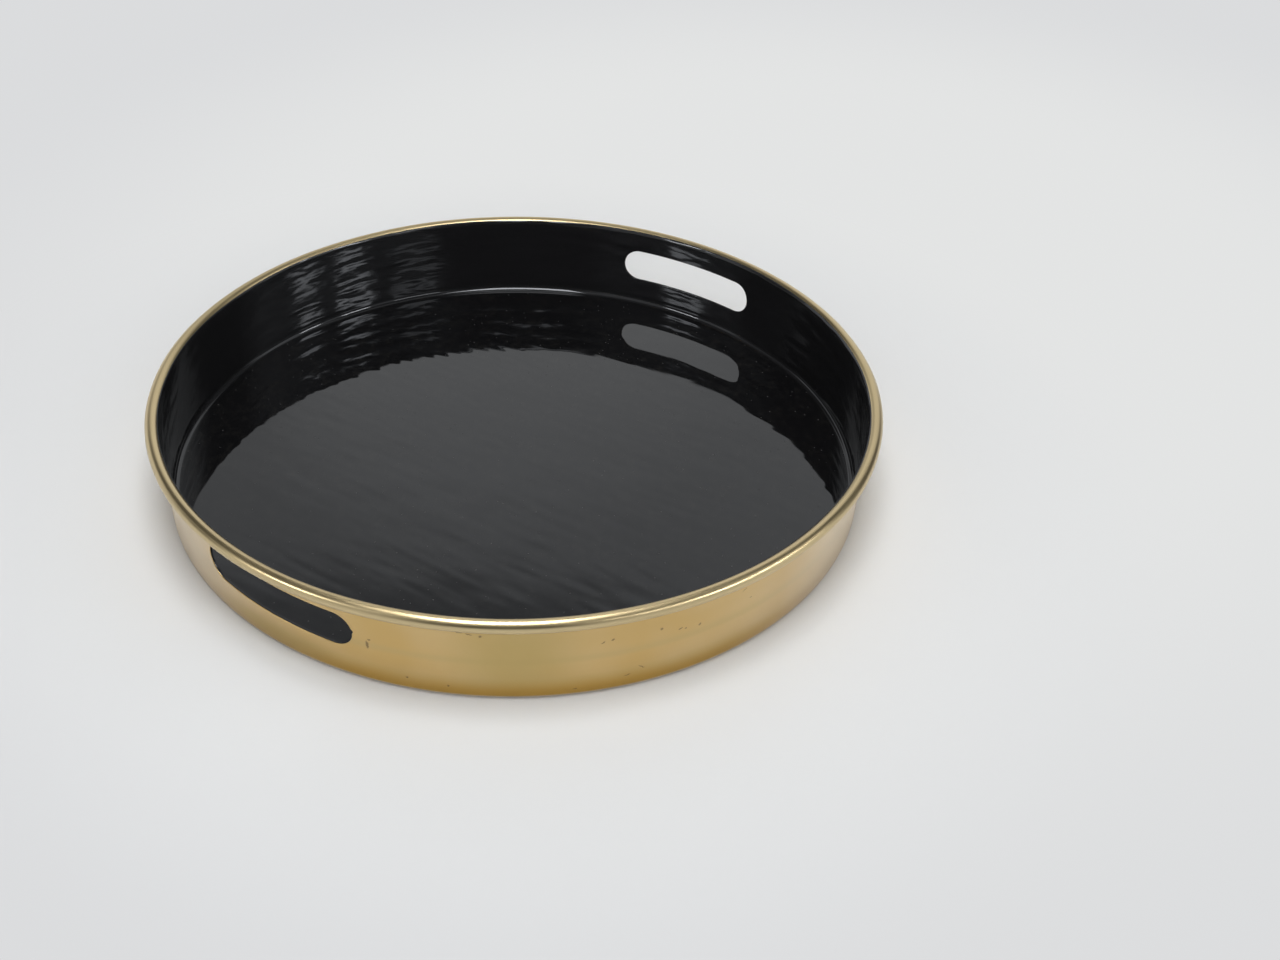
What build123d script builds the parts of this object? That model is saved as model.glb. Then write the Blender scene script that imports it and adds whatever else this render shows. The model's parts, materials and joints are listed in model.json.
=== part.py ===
from build123d import *
import os
from math import acos, cos, degrees, radians, sin

os.makedirs("parts", exist_ok=True)

# Round serving tray: a spun sheet pan with a wired rim, two hand slots and a coat of enamel inside.
# The origin is on the table under the middle of the tray, +Z is up, and the hand slots lie on the X axis.
# Lengths are in millimetres and angles in degrees.

# Driving dimensions
rim_diameter = 376.0
tray_height = 50.5
sheet_thickness = 1.0
wall_draft_degrees = 2.2

# Foot and floor of the pan
base_corner_radius = 3.4
foot_ring_width = 2.0
floor_lift = 1.2
floor_step_radius = 2.0

# Hand slots, with fully rounded ends, at a depth below the top of the rim
slot_length = 85.2
slot_height = 19.0
slot_middle_depth = 22.6

# Wire in the rolled rim, and the seam where the rolled lip meets the back of the wall
wire_diameter = 4.0
wire_clearance = 0.25
lip_seam = 0.15

# Enamel coat
coat_thickness = 0.4
coat_corner_radius = 3.2
coat_edge_degrees = 146.0

# How far every cut runs past the metal, and how close two ends of the section are when they touch
cut_overrun = 5.0
touching_distance = 0.001

# Directions in the section, as angles from the outward radius
upward, inward, downward, outward = 90, 180, 270, 360

# Places worked out from the sizes above. The section is drawn at azimuth zero, as radius and height.
slot_middle_height = tray_height - slot_middle_depth
bead_radius = wire_diameter / 2 + wire_clearance + sheet_thickness
bead_middle = (rim_diameter / 2 - bead_radius, tray_height - bead_radius)
draft_sine = sin(radians(wall_draft_degrees))
draft_cosine = cos(radians(wall_draft_degrees))


def across_wall(point):
    """Distance of a point from the axis, measured square to the leaning wall."""
    return point[0] * draft_cosine - point[1] * draft_sine


def radius_beside_wall(distance, height):
    """Radius of the point at a height whose distance square to the wall is given."""
    return (distance + height * draft_sine) / draft_cosine


wall_inside = across_wall(bead_middle) - bead_radius
wall_side_degrees = outward - wall_draft_degrees

# The base corner, the foot ring and the step up to the floor follow one another without a break.
corner_middle = (
    radius_beside_wall(wall_inside + sheet_thickness - base_corner_radius, base_corner_radius),
    base_corner_radius,
)
step_span = 2 * floor_step_radius + sheet_thickness
step_degrees = degrees(acos(1 - floor_lift / step_span))
foot_middle = (corner_middle[0] - foot_ring_width, floor_step_radius + sheet_thickness)
floor_edge_middle = (
    foot_middle[0] - step_span * sin(radians(step_degrees)),
    floor_lift - floor_step_radius,
)

# The rolled lip stops where its outer corner comes up to the back of the wall.
lip_reach = (sheet_thickness + lip_seam) / bead_radius - 1
lip_end_degrees = -degrees(acos(lip_reach)) - wall_draft_degrees
bead_start_degrees = inward - wall_draft_degrees

floor_top = floor_lift + sheet_thickness
coat_top = floor_top + coat_thickness
coat_corner_middle = (
    radius_beside_wall(
        wall_inside - coat_thickness - coat_corner_radius, coat_top + coat_corner_radius
    ),
    coat_top + coat_corner_radius,
)


def polar(middle, radius, angle):
    """The point of the section at a radius and an angle about a middle point."""
    return (middle[0] + radius * cos(radians(angle)), middle[1] + radius * sin(radians(angle)))


def bend(middle, radius, start, end):
    """An arc of the section about a middle point, between two angles."""
    return ThreePointArc(
        polar(middle, radius, start),
        polar(middle, radius, (start + end) / 2),
        polar(middle, radius, end),
    )


def joined(arcs, start, end):
    """The arcs in order from a start point to an end point, with the straight runs between them."""
    edges = []
    here = Vector(*start)
    for arc in arcs:
        if (arc @ 0 - here).length > touching_distance:
            edges.append(Line(here, arc @ 0))
        edges.append(arc)
        here = arc @ 1
    edges.append(Line(here, Vector(*end)))
    return edges


def upper_bends():
    """Bends of the sheet's upper face from the floor to the wall, which the enamel lies on."""
    return [
        bend(floor_edge_middle, floor_step_radius + sheet_thickness, upward, upward - step_degrees),
        bend(foot_middle, floor_step_radius, downward - step_degrees, downward),
        bend(corner_middle, base_corner_radius - sheet_thickness, downward, wall_side_degrees),
    ]


def lower_bends():
    """Bends of the sheet's lower face from the floor to the wall, one sheet below the upper face."""
    return [
        bend(floor_edge_middle, floor_step_radius, upward, upward - step_degrees),
        bend(foot_middle, floor_step_radius + sheet_thickness, downward - step_degrees, downward),
        bend(corner_middle, base_corner_radius, downward, wall_side_degrees),
    ]


def turned(edges):
    """The solid made by turning a closed outline, drawn as radius and height, about the Z axis."""
    outline = Plane.XZ * make_face(edges)
    return revolve(outline, axis=Axis.Z)


def pan_section():
    """Outline of the sheet: up its upper face, round the rolled rim, and back along its lower face."""
    roll_outside = bend(bead_middle, bead_radius, bead_start_degrees, lip_end_degrees)
    roll_inside = bend(
        bead_middle, bead_radius - sheet_thickness, bead_start_degrees, lip_end_degrees
    )
    upper = joined(upper_bends() + [roll_outside], (0, floor_top), roll_inside @ 1)
    lower = joined(lower_bends(), (0, floor_lift), roll_inside @ 0)
    axis_edge = Line((0, floor_top), (0, floor_lift))
    return upper + [roll_inside] + lower + [axis_edge]


def coat_section():
    """Outline of the enamel: its free face is flat across the step and fills the corner."""
    on_metal = bend(bead_middle, bead_radius, bead_start_degrees, coat_edge_degrees)
    free_corner = bend(coat_corner_middle, coat_corner_radius, downward, wall_side_degrees)
    free_edge = bend(
        bead_middle, bead_radius + coat_thickness, bead_start_degrees, coat_edge_degrees
    )
    under = joined(upper_bends() + [on_metal], (0, floor_top), free_edge @ 1)
    over = joined([free_corner], (0, coat_top), free_edge @ 0)
    axis_edge = Line((0, coat_top), (0, floor_top))
    return under + [free_edge] + over + [axis_edge]


def slot_cutter():
    """Bar with fully rounded edges that opens both hand slots at once, through the wall and its coat."""
    outline = Pos(0, slot_middle_height) * SlotOverall(slot_length, slot_height)
    return extrude(Plane.YZ * outline, amount=rim_diameter / 2 + cut_overrun, both=True)


def tray_pan():
    """The spun sheet with its foot ring, leaning wall and rolled rim, punched for the hands."""
    return turned(pan_section()) - slot_cutter()


def enamel_lining():
    """The black coat on the floor and wall, up to the inner flank of the rolled rim."""
    return turned(coat_section()) - slot_cutter()


def rim_wire():
    """The ring of wire that the edge of the sheet is rolled round."""
    return Pos(0, 0, bead_middle[1]) * Torus(bead_middle[0], wire_diameter / 2)


for name, make in (
    ("tray_pan", tray_pan),
    ("enamel_lining", enamel_lining),
    ("rim_wire", rim_wire),
):
    piece = make()
    piece.label = name
    export_step(piece, f"parts/{name}.step")
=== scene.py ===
import json
from math import acos, atan2, cos, degrees, hypot, pi, radians, sin, sqrt

import bmesh
import bpy
from mathutils import Matrix, Vector, noise


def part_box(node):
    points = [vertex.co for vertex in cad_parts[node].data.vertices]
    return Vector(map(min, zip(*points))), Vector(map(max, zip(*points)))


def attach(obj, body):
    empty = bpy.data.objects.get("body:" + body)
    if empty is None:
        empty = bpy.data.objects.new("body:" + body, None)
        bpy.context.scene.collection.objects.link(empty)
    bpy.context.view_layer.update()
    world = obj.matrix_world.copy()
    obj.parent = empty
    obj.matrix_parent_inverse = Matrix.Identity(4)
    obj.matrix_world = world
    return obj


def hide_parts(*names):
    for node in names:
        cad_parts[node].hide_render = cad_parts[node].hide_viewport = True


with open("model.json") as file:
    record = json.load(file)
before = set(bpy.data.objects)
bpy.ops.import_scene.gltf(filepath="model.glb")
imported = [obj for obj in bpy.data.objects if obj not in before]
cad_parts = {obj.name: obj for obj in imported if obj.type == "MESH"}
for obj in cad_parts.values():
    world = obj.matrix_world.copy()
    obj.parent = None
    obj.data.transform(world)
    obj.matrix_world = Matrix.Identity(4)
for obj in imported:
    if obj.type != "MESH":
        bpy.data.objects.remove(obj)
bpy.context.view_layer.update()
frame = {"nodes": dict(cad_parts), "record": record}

# The pan: one disc of sheet metal spun over a former into a floor, a foot ring, a leaning wall
# and a rim rolled over a wire, with two hand slots punched through the wall. Outside it has a satin
# gold finish with the faint rings of the spinning tool, some pits and scratches, and a paler rim.
mounts = {mount["name"]: mount for mount in frame["record"]["mounts"]}
pan_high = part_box("tray_pan")[1]
wire_low, wire_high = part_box("rim_wire")
sheet = 0.0010
coat = 0.0004
wall_lean = 2.2
base_corner_radius = 0.0034
foot_width = 0.0020
step_radius = 0.0020
lip_seam = 0.00015
floor_height = mounts["tray_floor"]["pos_m"][2]
floor_lift = floor_height - coat - sheet
bead_radius = pan_high.z - (wire_high.z + wire_low.z) / 2
bead_middle = (pan_high.x - bead_radius, pan_high.z - bead_radius)
lean_sine, lean_cosine = sin(radians(wall_lean)), cos(radians(wall_lean))
wall_inside = bead_middle[0] * lean_cosine - bead_middle[1] * lean_sine - bead_radius

slot_straight = 0.0662
slot_end_radius = 0.0095
slot_height = 0.0279
slot_lip = 0.00035
front_slot_tilt = 1.8
front_slot_rise = 0.0009
front_slot_corner = 0.0006
front_slot_corner_start = 0.9
front_slot_reach = 0.0018
nick = (0.0424, 0.0289)
nick_depth, nick_width = 0.0009, 0.0014

# The turned mesh: its steps round the axis, and the window in each wall that a hand slot is cut in
turns = 720
window_turns = 32
window_rows = 24
window_low, window_high = 0.0145, 0.0413
rows_below_window = (0, 0.34, 0.67)
rows_above_window = (0.35, 0.7)
rings_round_slot = 7
cut_overlap = 0.00005
sharpest_smooth_edge = 40


def beside_wall(distance, height):
    """Radius at a height of the face that lies at a distance outside the pan's inner wall."""
    return (wall_inside + distance + height * lean_sine) / lean_cosine


def bend(middle, radius, start, end, steps):
    """Points of the section along an arc, between two angles in degrees from the outward radius."""
    angles = [radians(start + (end - start) * k / steps) for k in range(steps + 1)]
    return [(middle[0] + radius * cos(a), middle[1] + radius * sin(a)) for a in angles]


def wall_rows(distance):
    """Points up the straight wall, with evenly spaced rows between the window's two heights."""
    foot = 2 * base_corner_radius
    below = [window_low * share + (1 - share) * foot for share in rows_below_window]
    pitch = (window_high - window_low) / window_rows
    middle = [window_low + pitch * k for k in range(window_rows + 1)]
    above = [window_high + (bead_middle[1] - window_high) * share for share in rows_above_window]
    return [(beside_wall(distance, z), z) for z in below + middle + above]


def smooth(value, low, high):
    """Soft step from 0 at low to 1 at high."""
    share = min(1.0, max(0.0, (value - low) / (high - low)))
    return share * share * (3 - 2 * share)


def wander(point, length, seed):
    """Seeded soft noise between about -1 and 1, as long as length in metres."""
    x, y, z = point
    place = (x / length[0] + seed, y / length[1] - seed, z / length[2] + 2 * seed)
    return noise.noise(Vector(place))


# How far the worked metal strays inward from its true section, and the length of its waves
flat_middle = 0.1
rim_sag = 0.00022
rim_pull = 0.00025
rim_wave = (0.055, 0.055, 0.2)
rim_wave_start = 0.030
dent_depth = 0.00002
dent_size = (0.045, 0.045, 0.010)
dent_start, dent_full = 0.043, 0.046
wall_wave_depth = 0.00006
wall_wave = (0.030, 0.030, 0.012)
wall_wave_start, wall_wave_full = 0.004, 0.012


def as_spun(x, y, z):
    """Where a point of the true section lies on the worked metal: inside, and true at the foot."""
    place, round_axis = (x, y, z), (x, y, 0)
    up = smooth(z, rim_wave_start, bead_middle[1])
    sag = rim_sag * up * (0.5 + 0.5 * wander(round_axis, rim_wave, seed=3.1))
    pull = rim_pull * up * (0.5 + 0.5 * wander(round_axis, rim_wave, seed=7.7))
    dent = dent_depth * smooth(z, dent_start, dent_full)
    dent *= 0.5 + 0.5 * wander(place, dent_size, seed=11.3)
    wave = wall_wave_depth * smooth(z, wall_wave_start, wall_wave_full)
    wave *= 1 + wander(place, wall_wave, seed=5.9)
    radius = hypot(x, y)
    share = 1 - (pull + dent + wave) / radius if radius > flat_middle else 1
    return (x * share, y * share, z - sag - dent)


def slot_outline(side, steps_along, steps_up, growth):
    """Points (across, height) round a hand slot, from its lower left, grown outward by a length.

    The slot at -X was punched a little out of level, with one fuller corner and a nick at its end.
    """
    end_arc = pi * slot_end_radius
    long_side = slot_straight + end_arc / 2
    places = [-end_arc / 4 + long_side * k / steps_along for k in range(steps_along)]
    places += [places[0] + long_side + end_arc / 2 * k / steps_up for k in range(steps_up)]
    half = slot_straight + end_arc
    points = []
    for place in places + [place + half for place in places]:
        flip = 1
        if place >= half - end_arc / 4:
            place, flip = place - half, -1
        if place < 0:
            angle, middle = -pi / 2 + place / slot_end_radius, -slot_straight / 2
        elif place <= slot_straight:
            angle, middle = -pi / 2, place - slot_straight / 2
        else:
            angle, middle = -pi / 2 + (place - slot_straight) / slot_end_radius, slot_straight / 2
        if flip < 0:
            angle, middle = angle + pi, -middle
        reach = slot_end_radius + growth
        if side < 0:
            full = slot_straight / 2
            at_end = smooth(-middle, front_slot_corner_start * full, full)
            reach += front_slot_corner * max(0, -sin(2 * angle)) * at_end
        across, up = middle + reach * cos(angle), reach * sin(angle)
        if side < 0:
            tilt = radians(front_slot_tilt)
            across -= front_slot_reach * smooth(-across, slot_straight / 4, slot_straight / 2)
            level_across, level_up = across, up
            across = level_across * cos(tilt) + level_up * sin(tilt)
            up = level_up * cos(tilt) - level_across * sin(tilt) + front_slot_rise
            near = hypot(across - nick[0], slot_height + up - nick[1])
            across += nick_depth * max(0, 1 - near / nick_width)
        points.append((across, slot_height + up))
    return points


def turned_skin(name, section, cuts, worked):
    """Object turned from a section that starts and ends on the axis, with both hand slots open.

    Each of the two cuts holds its first and last row in the section, its distance from the pan's
    inner wall, and the rings that lead on round the edge of the slot, as growth and distance.
    """
    count = len(section) - 2
    points = [(0, 0, section[0][1]), (0, 0, section[-1][1])]
    faces = []
    for turn in range(turns):
        azimuth = 2 * pi * turn / turns
        points += [(r * cos(azimuth), r * sin(azimuth), z) for r, z in section[1:-1]]

    def at(turn, row):
        return 2 + (turn % turns) * count + row - 1

    open_cells = set()
    for middle in (0, turns // 2):
        for turn in range(middle - window_turns, middle + window_turns):
            for first, last, distance, edge_rings in cuts:
                open_cells.update((turn % turns, row) for row in range(first, last))
    for turn in range(turns):
        faces.append((0, at(turn, 1), at(turn + 1, 1)))
        faces.append((1, at(turn + 1, count), at(turn, count)))
        for row in range(1, count):
            if (turn, row) not in open_cells:
                here, further = (at(turn, row), at(turn, row + 1)), turn + 1
                faces.append((*here, at(further, row + 1), at(further, row)))

    steps_along, steps_up = 2 * window_turns, window_rows
    for side in (1, -1):
        middle = 0 if side == 1 else turns // 2
        left, right = middle - window_turns, middle + window_turns
        edges = []
        for first, last, distance, edge_rings in cuts:
            low, high = (first, last) if section[first][1] < section[last][1] else (last, first)
            up = 1 if high > low else -1
            border = [at(left + k, low) for k in range(steps_along)]
            border += [at(right, low + up * k) for k in range(steps_up)]
            border += [at(right - k, high) for k in range(steps_along)]
            border += [at(left, high - up * k) for k in range(steps_up)]
            last_ring = border
            flat = [(side * points[v][1], points[v][2]) for v in border]
            start = edge_rings[0][0]
            shares = [k / rings_round_slot for k in range(1, rings_round_slot + 1)]
            levels = [(share, start, distance) for share in shares]
            levels += [(1.0, growth, depth) for growth, depth in edge_rings]
            for share, growth, depth in levels:
                edge = slot_outline(side, steps_along, steps_up, growth)
                ring = []
                for (a0, z0), (a1, z1) in zip(flat, edge):
                    across, z = a0 + (a1 - a0) * share, z0 + (z1 - z0) * share
                    radius = beside_wall(depth, z)
                    points.append((side * sqrt(radius ** 2 - across ** 2), side * across, z))
                    ring.append(len(points) - 1)
                for k, v in enumerate(ring):
                    faces.append((last_ring[k - 1], last_ring[k], v, ring[k - 1]))
                last_ring = ring
            edges.append(last_ring)
        for k in range(len(edges[0])):
            faces.append((edges[0][k - 1], edges[0][k], edges[1][k], edges[1][k - 1]))
    mesh = bpy.data.meshes.new(name)
    mesh.from_pydata([worked(*p) for p in points], [], faces)
    tidy = bmesh.new()
    tidy.from_mesh(mesh)
    bmesh.ops.recalc_face_normals(tidy, faces=tidy.faces)
    tidy.to_mesh(mesh)
    tidy.free()
    mesh.shade_smooth()
    mesh.set_sharp_from_angle(angle=radians(sharpest_smooth_edge))
    piece = bpy.data.objects.new(name, mesh)
    bpy.context.scene.collection.objects.link(piece)
    return piece


corner_middle = (beside_wall(sheet - base_corner_radius, base_corner_radius), base_corner_radius)
step_span = 2 * step_radius + sheet
step_angle = degrees(acos(1 - floor_lift / step_span))
foot_middle = (corner_middle[0] - foot_width, step_radius + sheet)
floor_edge_middle = (
    foot_middle[0] - step_span * sin(radians(step_angle)),
    floor_lift - step_radius,
)
lip_end = -degrees(acos((sheet + lip_seam) / bead_radius - 1)) - wall_lean
bead_start = 180 - wall_lean
wall_side = 360 - wall_lean
floor_crowding = 0.8
upper_rings, lower_rings = 12, 40
roll_steps, roll_inside_steps = 44, 16


def floor_rows(edge, height, rings):
    """Points of a flat floor from its middle to its edge, closer together towards the edge."""
    return [(edge * (k / rings) ** floor_crowding, height) for k in range(rings)]


def sheet_bends(upper, steps):
    """Bends of one face of the sheet, from the floor's edge over the foot ring to the wall."""
    gain, loss = (sheet, 0) if upper else (0, sheet)
    return (
        bend(floor_edge_middle, step_radius + gain, 90, 90 - step_angle, steps)
        + bend(foot_middle, step_radius + loss, 270 - step_angle, 270, steps)[1:]
        + bend(corner_middle, base_corner_radius - gain, 270, wall_side, 2 * steps)
    )


# The section runs out over the upper face, up the wall, round the roll and back underneath.
upper_part = floor_rows(floor_edge_middle[0], floor_lift + sheet, upper_rings)
upper_part += sheet_bends(True, 3)
inner_wall = wall_rows(0)
roll_outside = bend(bead_middle, bead_radius, bead_start, lip_end, roll_steps)
roll_inside = bend(bead_middle, bead_radius - sheet, lip_end, bead_start, roll_inside_steps)
outer_wall = wall_rows(sheet)[::-1]
lower_part = floor_rows(floor_edge_middle[0], floor_lift, lower_rings) + sheet_bends(False, 5)
lower_part = lower_part[::-1]
pan_section = upper_part + inner_wall + roll_outside + roll_inside + outer_wall + lower_part
first_inner = len(upper_part) + len(rows_below_window)
first_outer = len(pan_section) - len(lower_part + outer_wall) + len(rows_above_window)
quarter_turn = [radians(15 * k) for k in range(1, 7)]
worn_lip = [(slot_lip * (1 - sin(a)), sheet - slot_lip * (1 - cos(a))) for a in quarter_turn]
pan_cuts = (
    (first_outer, first_outer + window_rows, sheet, worn_lip),
    (first_inner, first_inner + window_rows, 0.0, [(0.0, cut_overlap)]),
)
pan = turned_skin("spun_pan", pan_section, pan_cuts, as_spun)


def new_material(name):
    """An empty node material, with its shader."""
    material = bpy.data.materials.new(name)
    material.use_nodes = True
    return material, material.node_tree.nodes["Principled BSDF"]


def node(material, kind, inputs=None, **settings):
    """A node of a material, with its settings, and values or other nodes' outputs as inputs."""
    made = material.node_tree.nodes.new(kind)
    for key, value in settings.items():
        setattr(made, key, value)
    for key, value in (inputs or {}).items():
        if isinstance(value, bpy.types.NodeSocket):
            material.node_tree.links.new(value, made.inputs[key])
        else:
            made.inputs[key].default_value = value
    return made


def arithmetic(material, operation, first, second=0.0, third=0.0):
    """The result of one sum on values or other nodes' outputs."""
    made = node(material, "ShaderNodeMath", {0: first, 1: second, 2: third}, operation=operation)
    return made.outputs[0]


def ranged(material, value, low, high, out_low, out_high):
    """A value carried from one range to another, held at both ends."""
    made = node(
        material,
        "ShaderNodeMapRange",
        {"Value": value, "From Min": low, "From Max": high, "To Min": out_low, "To Max": out_high},
        interpolation_type="SMOOTHSTEP",
    )
    return made.outputs["Result"]


def blended(material, share, first, second):
    """A colour between two colours."""
    made = node(
        material, "ShaderNodeMix", {"Factor": share, "A": first, "B": second}, data_type="RGBA"
    )
    return made.outputs[2]


def cloud(material, place, size, detail=2.0, roughness=0.5):
    """Soft noise about 0.5 at a place, with a size in metres."""
    made = node(
        material,
        "ShaderNodeTexNoise",
        {"Vector": place, "Scale": 1 / size, "Detail": detail, "Roughness": roughness},
    )
    return made.outputs["Fac"]


def scaled_vector(material, vector, factors):
    """A place stretched or squeezed along each axis."""
    made = node(material, "ShaderNodeVectorMath", {0: vector, 1: factors}, operation="MULTIPLY")
    return made.outputs[0]


def squared(material, value):
    """The square of a value."""
    return arithmetic(material, "MULTIPLY", value, value)


# Colours of the gold: two over the wall, then on its broad rings, a painted shade at the foot, a
# painted sheen where the wall turns away, on the rim and in the pits
satin_gold = (0.64, 0.465, 0.225, 1)
deep_gold = (0.60, 0.405, 0.150, 1)
olive_gold = (0.54, 0.410, 0.190, 1)
foot_shade_gold = (0.47, 0.285, 0.060, 1)
painted_sheen_gold = (0.72, 0.620, 0.470, 1)
rim_gold = (0.61, 0.490, 0.280, 1)
pit_brown = (0.16, 0.11, 0.06, 1)
satin_roughness = (0.29, 0.33)
cloud_size = 0.045
ring_pitch = 0.0065
ring_squeeze = 0.006
foot_shade_full, foot_shade_end = 0.003, 0.014
rim_shade_start, rim_shade_full = 0.0432, 0.0448

# Soft patches of painted shade on the wall: azimuth, height, half width and half height, with their
# share and colour
front_shade_gold = (0.485, 0.362, 0.142, 1)
low_shade_brown = (0.46, 0.330, 0.130, 1)
front_shade_patch = ((-143.5, 0.0270, 0.036, 0.034), 0.75, front_shade_gold)
low_shade_patch = ((179.0, 0.0080, 0.045, 0.011), 0.75, low_shade_brown)

# Pits and scratches on the wall: azimuth, height, width, tallness and tilt
wall_marks = (
    (-164.2, 0.0235, 0.0011, 0.0040, 4),
    (-163.8, 0.0268, 0.0014, 0.0009, 20),
    (-150.9, 0.0404, 0.0026, 0.0008, 0),
    (-149.6, 0.0396, 0.0026, 0.0008, -10),
    (-148.0, 0.0386, 0.0014, 0.0010, 0),
    (-152.7, 0.0068, 0.0008, 0.0011, 0),
    (-158.6, 0.0085, 0.0010, 0.0010, 0),
    (-131.4, 0.0312, 0.0018, 0.0007, 25),
    (-130.0, 0.0322, 0.0014, 0.0008, 30),
    (-123.0, 0.0322, 0.0012, 0.0012, 0),
    (-120.0, 0.0290, 0.0018, 0.0008, 15),
    (-119.2, 0.0282, 0.0008, 0.0008, 0),
    (-116.9, 0.0278, 0.0011, 0.0013, 0),
    (-125.5, 0.0116, 0.0030, 0.0004, -30),
    (-127.6, 0.0084, 0.0028, 0.0005, 12),
    (-108.2, 0.0308, 0.0012, 0.0006, 0),
    (-109.6, 0.0374, 0.0024, 0.0004, 20),
    (-135.1, 0.0050, 0.0014, 0.0006, 0),
)
mark_scale = 0.62
mark_share = 0.72
fray_size = 0.0012
fray_reach = (0.0016, 0.0016, 0)
floor_end, wall_start = 0.170, 0.171

gold, gold_shader = new_material("satin_gold")
place = node(gold, "ShaderNodeTexCoord").outputs["Object"]
east, north, height = node(gold, "ShaderNodeSeparateXYZ", {0: place}).outputs
radius = arithmetic(
    gold, "SQRT", arithmetic(gold, "ADD", squared(gold, east), squared(gold, north))
)
ring_place = node(
    gold,
    "ShaderNodeCombineXYZ",
    {
        0: arithmetic(gold, "MULTIPLY", east, ring_squeeze),
        1: arithmetic(gold, "MULTIPLY", north, ring_squeeze),
        2: arithmetic(gold, "ADD", radius, height),
    },
).outputs[0]
broad_rings = cloud(gold, ring_place, ring_pitch, 0.6)
patches = cloud(gold, place, cloud_size, 2.0)
on_rim = ranged(gold, height, rim_shade_start, rim_shade_full, 0.0, 1.0)
tone = blended(gold, ranged(gold, patches, 0.35, 0.7, 0.0, 0.8), satin_gold, deep_gold)
tone = blended(gold, ranged(gold, broad_rings, 0.45, 0.75, 0.0, 0.5), tone, olive_gold)

# The wall unrolled flat from -X, as a place for the patches and marks
wall_radius = beside_wall(sheet, slot_height)
turn_angle = arithmetic(
    gold,
    "ARCTAN2",
    arithmetic(gold, "MULTIPLY", north, -1.0),
    arithmetic(gold, "MULTIPLY", east, -1.0),
)
unrolled = node(
    gold,
    "ShaderNodeCombineXYZ",
    {0: arithmetic(gold, "MULTIPLY", turn_angle, wall_radius), 1: height},
).outputs[0]


def from_spot(plane, azimuth, height, width, tall, tilt):
    """Distance in the unrolled wall from a spot, as a share of the spot's half size."""
    spot = node(gold, "ShaderNodeMapping", {"Vector": plane}, vector_type="TEXTURE")
    along = radians(azimuth % 360 - 180) * wall_radius
    spot.inputs["Location"].default_value = (along, height, 0)
    spot.inputs["Rotation"].default_value = (0, 0, radians(tilt))
    spot.inputs["Scale"].default_value = (width, tall, 1)
    reach = node(gold, "ShaderNodeVectorMath", {0: spot.outputs[0]}, operation="LENGTH")
    return reach.outputs["Value"]


def patched(tone, patch, share, colour):
    """The gold's tone with a soft patch of painted shade, in another colour, on the wall."""
    reach = from_spot(unrolled, *patch, 0)
    return blended(gold, ranged(gold, reach, 0.15, 1.1, share, 0.0), tone, colour)


# Painted shade: a darker patch on the front of the wall, where it reflects the dark room in front
# and the table's shadow
tone = patched(tone, *front_shade_patch)
# Painted shade: the foot of the wall is blended to a darker, deeper gold, where it reflects the
# table's shadow
painted_foot_shade = ranged(gold, height, foot_shade_full, foot_shade_end, 0.9, 0.0)
tone = blended(gold, painted_foot_shade, tone, foot_shade_gold)
fraying = node(
    gold, "ShaderNodeTexNoise", {"Vector": place, "Scale": 1 / fray_size, "Detail": 2.0}
).outputs["Color"]
frayed = node(
    gold, "ShaderNodeVectorMath", {0: fraying, 1: (0.5, 0.5, 0.5)}, operation="SUBTRACT"
).outputs[0]
frayed = scaled_vector(gold, frayed, fray_reach)
frayed = node(
    gold, "ShaderNodeVectorMath", {0: unrolled, 1: frayed}, operation="ADD"
).outputs[0]
marked = 0.0
for azimuth, middle_height, width, tall, tilt in wall_marks:
    reach = from_spot(frayed, azimuth, middle_height, mark_scale * width, mark_scale * tall, tilt)
    marked = arithmetic(gold, "MAXIMUM", marked, ranged(gold, reach, 0.55, 1.25, 1.0, 0.0))
on_wall = ranged(gold, radius, floor_end, wall_start, 0.0, 1.0)
marked = arithmetic(gold, "MULTIPLY", marked, on_wall)
# Painted sheen: the gold turns paler where the wall turns away from the view, standing in for the
# grazing reflection of its lacquer
facing = node(gold, "ShaderNodeLayerWeight", {"Blend": 0.5}).outputs["Facing"]
tone = blended(gold, ranged(gold, facing, 0.45, 0.85, 0.0, 0.85), tone, painted_sheen_gold)
# Painted shade: a darker brown band low on the wall under the front slot, standing in for a dark
# reflection
tone = patched(tone, *low_shade_patch)
tone = blended(gold, arithmetic(gold, "MULTIPLY", marked, mark_share), tone, pit_brown)
tone = blended(gold, on_rim, tone, rim_gold)
satin = ranged(gold, patches, 0.3, 0.7, *satin_roughness)
gold.node_tree.links.new(tone, gold_shader.inputs["Base Color"])
gold.node_tree.links.new(satin, gold_shader.inputs["Roughness"])
gold_shader.inputs["Metallic"].default_value = 1.0
pan.data.materials.append(gold)
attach(pan, "root")
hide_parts("tray_pan")

# The wire: a ring of drawn steel wire that the edge of the sheet is rolled round. It is hidden in
# the rim, and the CAD ring itself is kept, with the grey, finely drawn surface of bare wire.
steel_dark = (0.42, 0.42, 0.41, 1)
steel_light = (0.60, 0.59, 0.57, 1)
steel_roughness = (0.28, 0.45)
drawn_mark_size = 0.0012
steel, steel_shader = new_material("drawn_steel")
steel_place = node(steel, "ShaderNodeTexCoord").outputs["Object"]
drawn_marks = cloud(steel, steel_place, drawn_mark_size, 4.0)
steel_tone = blended(steel, drawn_marks, steel_dark, steel_light)
steel_finish = ranged(steel, drawn_marks, 0.3, 0.7, *steel_roughness)
steel.node_tree.links.new(steel_tone, steel_shader.inputs["Base Color"])
steel.node_tree.links.new(steel_finish, steel_shader.inputs["Roughness"])
steel_shader.inputs["Metallic"].default_value = 1.0
wire = frame["nodes"]["rim_wire"]
wire.data.materials.clear()
wire.data.materials.append(steel)

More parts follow.
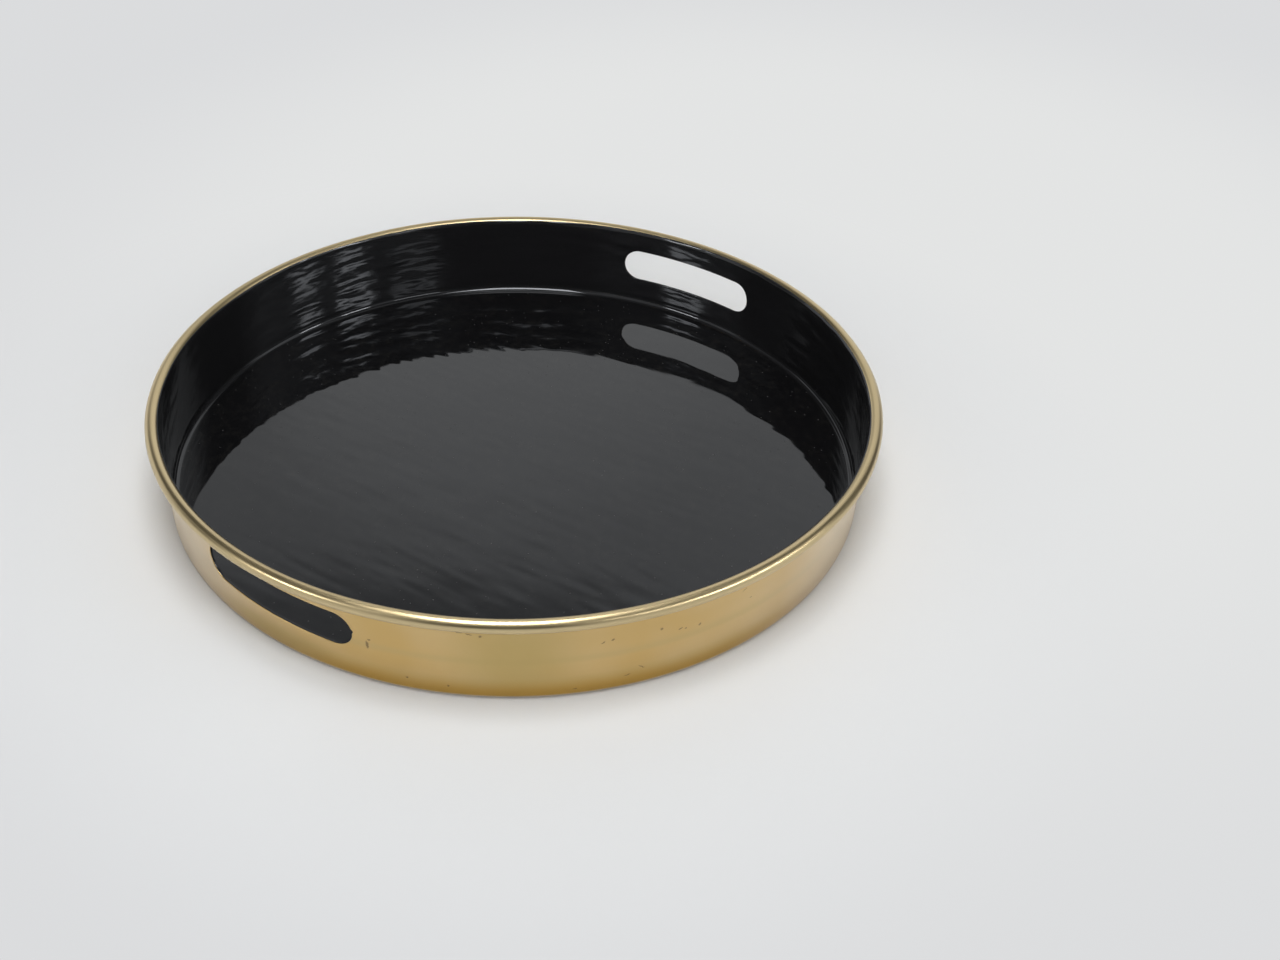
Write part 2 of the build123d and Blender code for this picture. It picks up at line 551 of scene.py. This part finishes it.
# The lining: black enamel, sprayed over the floor and the inner wall and baked to a gloss. It fills
# the corner, laps over the inner flank of the rim and rounds over at the slots. Its gloss has the
# slight ripple of the sheet and the spray, with a little dust on it.
coat_corner_radius = 0.0032
coat_edge = 146.0
edge_sweep = 11.0
edge_wander = 6.0
coat_lip = 0.00030
edge_coat = 0.00012
floor_rings = 120

# Ripples and waves of the free face: their depths, and their sizes along each axis
flank_ripple = 0.00010
flank_ripple_size = (0.012, 0.012, 0.0022)
floor_ripple = 0.000026
floor_ripple_size = (0.0048, 0.020, 1.0)
floor_swell = 0.00006
floor_swell_size = (0.021, 0.027, 1.0)
flat_edge_start = 0.165
wall_ripples = (
    (0.00024, (0.028, 0.028, 0.0046)),
    (0.00007, (0.013, 0.013, 0.0026)),
)
wall_ripple_start, wall_ripple_full = 0.006, 0.010
wall_ripple_fade, wall_ripple_end = 0.0440, 0.0470

# Shallow creases across the floor: depth, pitch, middle, and where they start and end to fade
crease_turn = -4.0
crease_stray = 0.011
crease_stray_size = (0.045, 0.045, 1.0)
creases = (
    (0.000012, 0.0125, (0.0, 0.0), (0.20, 0.30)),
    (0.000021, 0.0065, (0.060, 0.076), (0.032, 0.060)),
)
level_margin, rim_margin = 0.00001, 0.00005
coat_corner_middle = (
    beside_wall(-coat - coat_corner_radius, floor_height + coat_corner_radius),
    floor_height + coat_corner_radius,
)


def over_rim(x, y, z):
    """A point of the coat on the inner flank of the rim, where its edge runs a little unevenly."""
    radius = hypot(x, y)
    out, up = radius - bead_middle[0], z - bead_middle[1]
    from_wall = bead_start - degrees(atan2(up, out))
    stray = edge_sweep * x / radius + edge_wander * wander((x, y, 0), rim_wave, seed=2.3)
    reach = 1 + stray / (bead_start - coat_edge)
    lift = hypot(out, up)
    if lift > bead_radius + coat / 4:
        lift += flank_ripple * wander((x, y, z), flank_ripple_size, seed=6.1)
    angle = radians(bead_start - from_wall * reach)
    share = (bead_middle[0] + lift * cos(angle)) / radius
    return as_spun(x * share, y * share, bead_middle[1] + lift * sin(angle))


def floor_relief(x, y, z):
    """Height of the floor's ripple, swell and creases at a point."""
    place = (x, y, z)
    lift = floor_ripple * wander(place, floor_ripple_size, seed=1.7)
    lift += floor_swell * wander(place, floor_swell_size, seed=4.3)
    turn = radians(crease_turn)
    along = x * cos(turn) + y * sin(turn)
    along += crease_stray * wander(place, crease_stray_size, seed=8.8)
    for depth, pitch, middle, (near, far) in creases:
        share = 1 - smooth(hypot(x - middle[0], y - middle[1]), near, far)
        lift += share * depth * (1 - (2 * (along / pitch % 1) - 1) ** 2)
    return lift


def as_coated(x, y, z):
    """The lining's points: settled on the worked metal, with the ripple of the gloss where free."""
    radius = hypot(x, y)
    if z > bead_middle[1] + rim_margin:
        return over_rim(x, y, z)
    if z > floor_height - level_margin and radius < coat_corner_middle[0]:
        fade = 1 - smooth(radius, flat_edge_start, coat_corner_middle[0])
        return (x, y, z + fade * floor_relief(x, y, z))
    place = (x, y, z)
    x, y, z = as_spun(x, y, z)
    beside = wall_inside - (radius * lean_cosine - place[2] * lean_sine)
    if place[2] > wall_ripple_start and beside > coat / 2:
        shift = sum(depth * wander(place, size, seed=9.1) for depth, size in wall_ripples)
        shift *= smooth(place[2], wall_ripple_start, wall_ripple_full)
        shift *= 1 - smooth(place[2], wall_ripple_fade, wall_ripple_end)
        x, y = x * (1 + shift / radius), y * (1 + shift / radius)
    return (x, y, z)


# The section runs out under the coat over the sheet, up to its edge on the rim, and back over it.
flank = bend(bead_middle, bead_radius, bead_start, coat_edge, 6)
feather = bend(bead_middle, bead_radius + 0.6 * coat, coat_edge + 1.5, coat_edge + 3, 1)
flank_top = bend(bead_middle, bead_radius + coat, coat_edge + 5, bead_start, 8)
free_wall = wall_rows(-coat)[::-1]
free_corner = bend(coat_corner_middle, coat_corner_radius, wall_side, 270, 20)
free_floor = floor_rows(coat_corner_middle[0], floor_height, floor_rings)[::-1]
lining_section = upper_part + inner_wall + flank + feather + flank_top + free_wall
first_free = len(lining_section) - len(free_wall) + len(rows_above_window)
lining_section += [p for p in free_corner if p[1] < 0.98 * free_wall[-1][1]] + free_floor
soft_lip = [radians(22.5 * k) for k in range(1, 5)]
on_cut = sheet - slot_lip
under_rings = [(0.0, cut_overlap), (0.0, on_cut / 2), (0.0, on_cut)]
free_rings = [
    (coat_lip * (1 - sin(a)) - edge_coat * sin(a), coat_lip * (1 - cos(a)) - coat)
    for a in soft_lip
]
free_rings += [(-edge_coat, on_cut / 2), (-edge_coat, on_cut - edge_coat)]
free_rings += [(-0.4 * edge_coat, on_cut)]
lining_cuts = (
    (first_inner, first_inner + window_rows, 0.0, under_rings),
    (first_free, first_free + window_rows, -coat, free_rings),
)
lining = turned_skin("black_lining", lining_section, lining_cuts, as_coated)

# Colours and finish of the enamel, and of the film and specks of dust that lie on its floor
wall_black = (0.0105, 0.0105, 0.0112, 1)
floor_black = (0.0046, 0.0046, 0.0051, 1)
dust_grey = (0.034, 0.033, 0.032, 1)
dust_film = (0.0115, 0.0110, 0.0105, 1)
dust_roughness = 0.5
film_size = 0.0045
specks_per_metre = 240.0
speck_share, speck_reach = 0.80, 0.085
dust_level, clear_level = 0.0027, 0.0032
haze_size = 0.022
gloss_roughness = (0.025, 0.06)
wall_softness = 0.09
soft_start, soft_full = 0.005, 0.009
peel_size = 0.0140
peel_stretch = (1.0, 1.0, 3.3)
peel_depth = 0.00030
peel_start, peel_full = 0.0050, 0.0085
enamel_ior = 1.5
cool_gloss = (0.965, 0.995, 1.045, 1)

enamel, enamel_shader = new_material("black_enamel")
enamel_place = node(enamel, "ShaderNodeTexCoord").outputs["Object"]
level = node(enamel, "ShaderNodeSeparateXYZ", {0: enamel_place}).outputs[2]
on_floor = ranged(enamel, level, dust_level, clear_level, 1.0, 0.0)
specks = node(
    enamel,
    "ShaderNodeTexVoronoi",
    {"Vector": enamel_place, "Scale": specks_per_metre, "Randomness": 1.0},
    voronoi_dimensions="2D",
)
speck_pick = node(enamel, "ShaderNodeSeparateColor", {0: specks.outputs["Color"]}).outputs[0]
speck_size = ranged(enamel, speck_pick, speck_share, 1.0, 0.0, speck_reach)
speck = arithmetic(enamel, "LESS_THAN", specks.outputs["Distance"], speck_size)
speck = arithmetic(enamel, "MULTIPLY", speck, on_floor)
film = ranged(enamel, cloud(enamel, enamel_place, film_size, 5.0, 0.75), 0.46, 0.74, 0.0, 1.0)
film = arithmetic(enamel, "MULTIPLY", film, on_floor)
enamel_tone = blended(enamel, on_floor, wall_black, floor_black)
enamel_tone = blended(enamel, film, enamel_tone, dust_film)
enamel_tone = blended(enamel, speck, enamel_tone, dust_grey)
haze = cloud(enamel, enamel_place, haze_size, 4.0, 0.6)
gloss = ranged(enamel, haze, 0.35, 0.75, *gloss_roughness)
softened = ranged(enamel, level, soft_start, soft_full, 0.0, wall_softness)
gloss = arithmetic(enamel, "ADD", gloss, softened)
gloss = ranged(enamel, speck, 0.0, 1.0, gloss, dust_roughness)
orange_peel = scaled_vector(enamel, enamel_place, peel_stretch)
orange_peel = cloud(enamel, orange_peel, peel_size, 1.0, 0.4)
on_wall = ranged(enamel, level, peel_start, peel_full, 0.0, 1.0)
orange_peel = arithmetic(enamel, "MULTIPLY", orange_peel, on_wall)
peel_relief = node(
    enamel, "ShaderNodeBump", {"Height": orange_peel, "Strength": 1.0, "Distance": peel_depth}
)
enamel.node_tree.links.new(enamel_tone, enamel_shader.inputs["Base Color"])
enamel.node_tree.links.new(gloss, enamel_shader.inputs["Roughness"])
enamel.node_tree.links.new(peel_relief.outputs["Normal"], enamel_shader.inputs["Normal"])
enamel_shader.inputs["IOR"].default_value = enamel_ior
enamel_shader.inputs["Specular Tint"].default_value = cool_gloss
lining.data.materials.append(enamel)
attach(lining, "root")
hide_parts("enamel_lining")

# The stage: a plain pale table of matt paper, with the tray's own shadow near it. Further out it
# keeps an even, pale tone up to the horizon, with a painted pool of brighter light beyond one of
# the hand slots.
table_size = 30.0
table_drop = 0.00005
table_colour = (0.800, 0.811, 0.820, 1)
table_roughness, table_shine = 0.9, 0.2
painted_pool_colour = (0.770, 0.778, 0.776, 1)
far_colour = (0.708, 0.716, 0.727, 1)
far_start, far_full = 0.190, 0.36
painted_pool_middle = (0.29, -0.01, 0.0)
bright_full, bright_end = 0.28, 0.62
table_mesh = bpy.data.meshes.new("table")
half = table_size / 2
corners = [(x * half, y * half, 0) for x, y in ((-1, -1), (1, -1), (1, 1), (-1, 1))]
table_mesh.from_pydata(corners, [], [(0, 1, 2, 3)])
table = bpy.data.objects.new("table", table_mesh)
bpy.context.scene.collection.objects.link(table)
table.location.z = -table_drop
paper, paper_shader = new_material("pale_table")
paper_place = node(paper, "ShaderNodeTexCoord").outputs["Object"]
paper_shader.inputs["Base Color"].default_value = table_colour
paper_shader.inputs["Roughness"].default_value = table_roughness
paper_shader.inputs["Specular IOR Level"].default_value = table_shine
distance = node(paper, "ShaderNodeVectorMath", {0: paper_place}, operation="LENGTH")
far_share = ranged(paper, distance.outputs["Value"], far_start, far_full, 0.0, 1.0)
ray = node(paper, "ShaderNodeLightPath").outputs
seen = arithmetic(paper, "MAXIMUM", ray["Is Camera Ray"], ray["Is Glossy Ray"])
seen = arithmetic(paper, "MAXIMUM", seen, ray["Is Transmission Ray"])
far_share = arithmetic(paper, "MULTIPLY", seen, far_share)
# Painted light: the far table is brighter round a place beyond the hand slot at +X, fading outward
beyond = node(
    paper, "ShaderNodeVectorMath", {0: paper_place, 1: painted_pool_middle}, operation="DISTANCE"
)
dimmed = ranged(paper, beyond.outputs["Value"], bright_full, bright_end, 0.0, 1.0)
far_tone = blended(paper, dimmed, painted_pool_colour, far_colour)
far = node(paper, "ShaderNodeEmission", {"Color": far_tone, "Strength": 1.0})
mixed = node(
    paper, "ShaderNodeMixShader", {0: far_share, 1: paper_shader.outputs[0], 2: far.outputs[0]}
)
surface = paper.node_tree.nodes["Material Output"].inputs["Surface"]
paper.node_tree.links.new(mixed.outputs[0], surface)
table_mesh.materials.append(paper)

# The light: a pale room and two broad soft lamps, overhead and in front, light the scene. A near
# lamp overhead and long ones at both sides only show in the gloss, as the room's darker sides do.
view_turn = -52.43
view_side = radians(view_turn)


def seen_towards(azimuth, elevation):
    """A direction from the tray, as the camera sees it: azimuth 0 is right and 90 is behind."""
    turn, tilt = radians(azimuth) + view_side, radians(elevation)
    return Vector((cos(turn) * cos(tilt), sin(turn) * cos(tilt), sin(tilt)))


def lamp(name, azimuth, elevation, reach, width, height, radiance, part):
    """A soft rectangular lamp that faces the tray and gives either the fill or the gloss."""
    data = bpy.data.lights.new(name, "AREA")
    data.shape = "RECTANGLE"
    data.size, data.size_y = width, height
    data.energy = radiance * width * height * pi
    made = bpy.data.objects.new(name, data)
    towards = seen_towards(azimuth, elevation)
    made.location = reach * towards
    made.rotation_mode = "QUATERNION"
    made.rotation_quaternion = towards.to_track_quat("Z", "Y")
    made.visible_camera = False
    made.visible_diffuse = part == "fill"
    made.visible_glossy = part == "gloss"
    bpy.context.scene.collection.objects.link(made)


# Each lamp's name, azimuth, elevation, distance, width, height, radiance and part
lamp("overhead_fill", 269, 80, 2.0, 0.96, 1.20, 6.3, "fill")
lamp("front_fill", 270, 28, 3.2, 3.0, 1.2, 2.4, "fill")
lamp("overhead_lamp", 259.5, 74.7, 0.58, 0.225, 0.36, 9.0, "gloss")
lamp("right_lamp_near", -56, 29, 3.2, 0.85, 0.30, 5.5, "gloss")
lamp("right_lamp", -32, 29, 3.2, 0.54, 0.30, 22.0, "gloss")
lamp("right_lamp_far", -13, 29, 3.2, 0.42, 0.30, 18.0, "gloss")
lamp("left_lamp", -156, 29, 3.2, 0.64, 0.30, 20.0, "gloss")

# The room: its level, and the darker sides as azimuth, elevation, spread, softness and level
room_level = 0.88
room_colour = (0.99, 1.0, 1.0, 1)
room_sides = (
    (270, 30, 70, 0.15, 0.50),
    (112, 37, 21, 0.50, 0.72),
    (100, 20, 12, 0.30, 0.45),
    (115, 79, 39.3, 0.04, 0.42),
    (138, 42, 22, 0.14, 0.03),
    (170, 58, 22, 0.25, 0.08),
    (172, 18, 14, 0.25, 0.06),
    (28, 16, 20, 0.25, 0.05),
    (36, 48, 17, 0.25, 0.06),
    (22, 5, 12, 0.30, 0.05),
    (265, 22, 25, 0.25, 0.06),
    (283, 16, 13, 0.30, 0.03),
    (322, 52, 18, 0.25, 0.06),
    (90, 30, 8, 0.50, 0.96),
)
world = bpy.data.worlds.new("pale_room")
bpy.context.scene.world = world
world.use_nodes = True
room = world.node_tree.nodes["Background"]
direction = node(world, "ShaderNodeTexCoord").outputs["Generated"]
strength = room_level
for azimuth, elevation, spread, softness, side_level in room_sides:
    towards = seen_towards(azimuth, elevation)
    along = node(
        world, "ShaderNodeVectorMath", {0: direction, 1: towards}, operation="DOT_PRODUCT"
    ).outputs["Value"]
    outer, inner = cos(radians(spread * (1 + softness))), cos(radians(spread * (1 - softness)))
    inside = ranged(world, along, outer, inner, 0.0, 1.0)
    change = arithmetic(world, "SUBTRACT", side_level, strength)
    change = arithmetic(world, "MULTIPLY", inside, change)
    strength = arithmetic(world, "ADD", strength, change)
world.node_tree.links.new(strength, room.inputs["Strength"])
room.inputs["Color"].default_value = room_colour

# The camera: a short standard lens from the front left of the tray, looking down on it.
camera_reach = 0.6342
camera_height = 0.4604
camera_azimuth = 53.545
camera_pitch = 37.062
camera_roll = -1.083
focal_pixels = 1455.0
axis_pixel = (490.1, 486.1)
picture = (1280, 960)
camera_data = bpy.data.cameras.new("camera")
camera = bpy.data.objects.new("camera", camera_data)
bpy.context.scene.collection.objects.link(camera)
bpy.context.scene.camera = camera
camera_data.sensor_width = 36.0
camera_data.lens = camera_data.sensor_width * focal_pixels / picture[0]
camera_data.shift_x = (picture[0] / 2 - axis_pixel[0]) / picture[0]
camera_data.shift_y = (axis_pixel[1] - picture[1] / 2) / picture[0]
camera_data.clip_start = 0.02
camera_data.clip_end = 60.0
stand = radians(camera_azimuth)
camera.matrix_world = (
    Matrix.Translation((-camera_reach * sin(stand), -camera_reach * cos(stand), camera_height))
    @ Matrix.Rotation(radians(view_turn), 4, "Z")
    @ Matrix.Rotation(radians(90 - camera_pitch), 4, "X")
    @ Matrix.Rotation(radians(camera_roll), 4, "Z")
)
bpy.context.scene.view_settings.view_transform = "Standard"
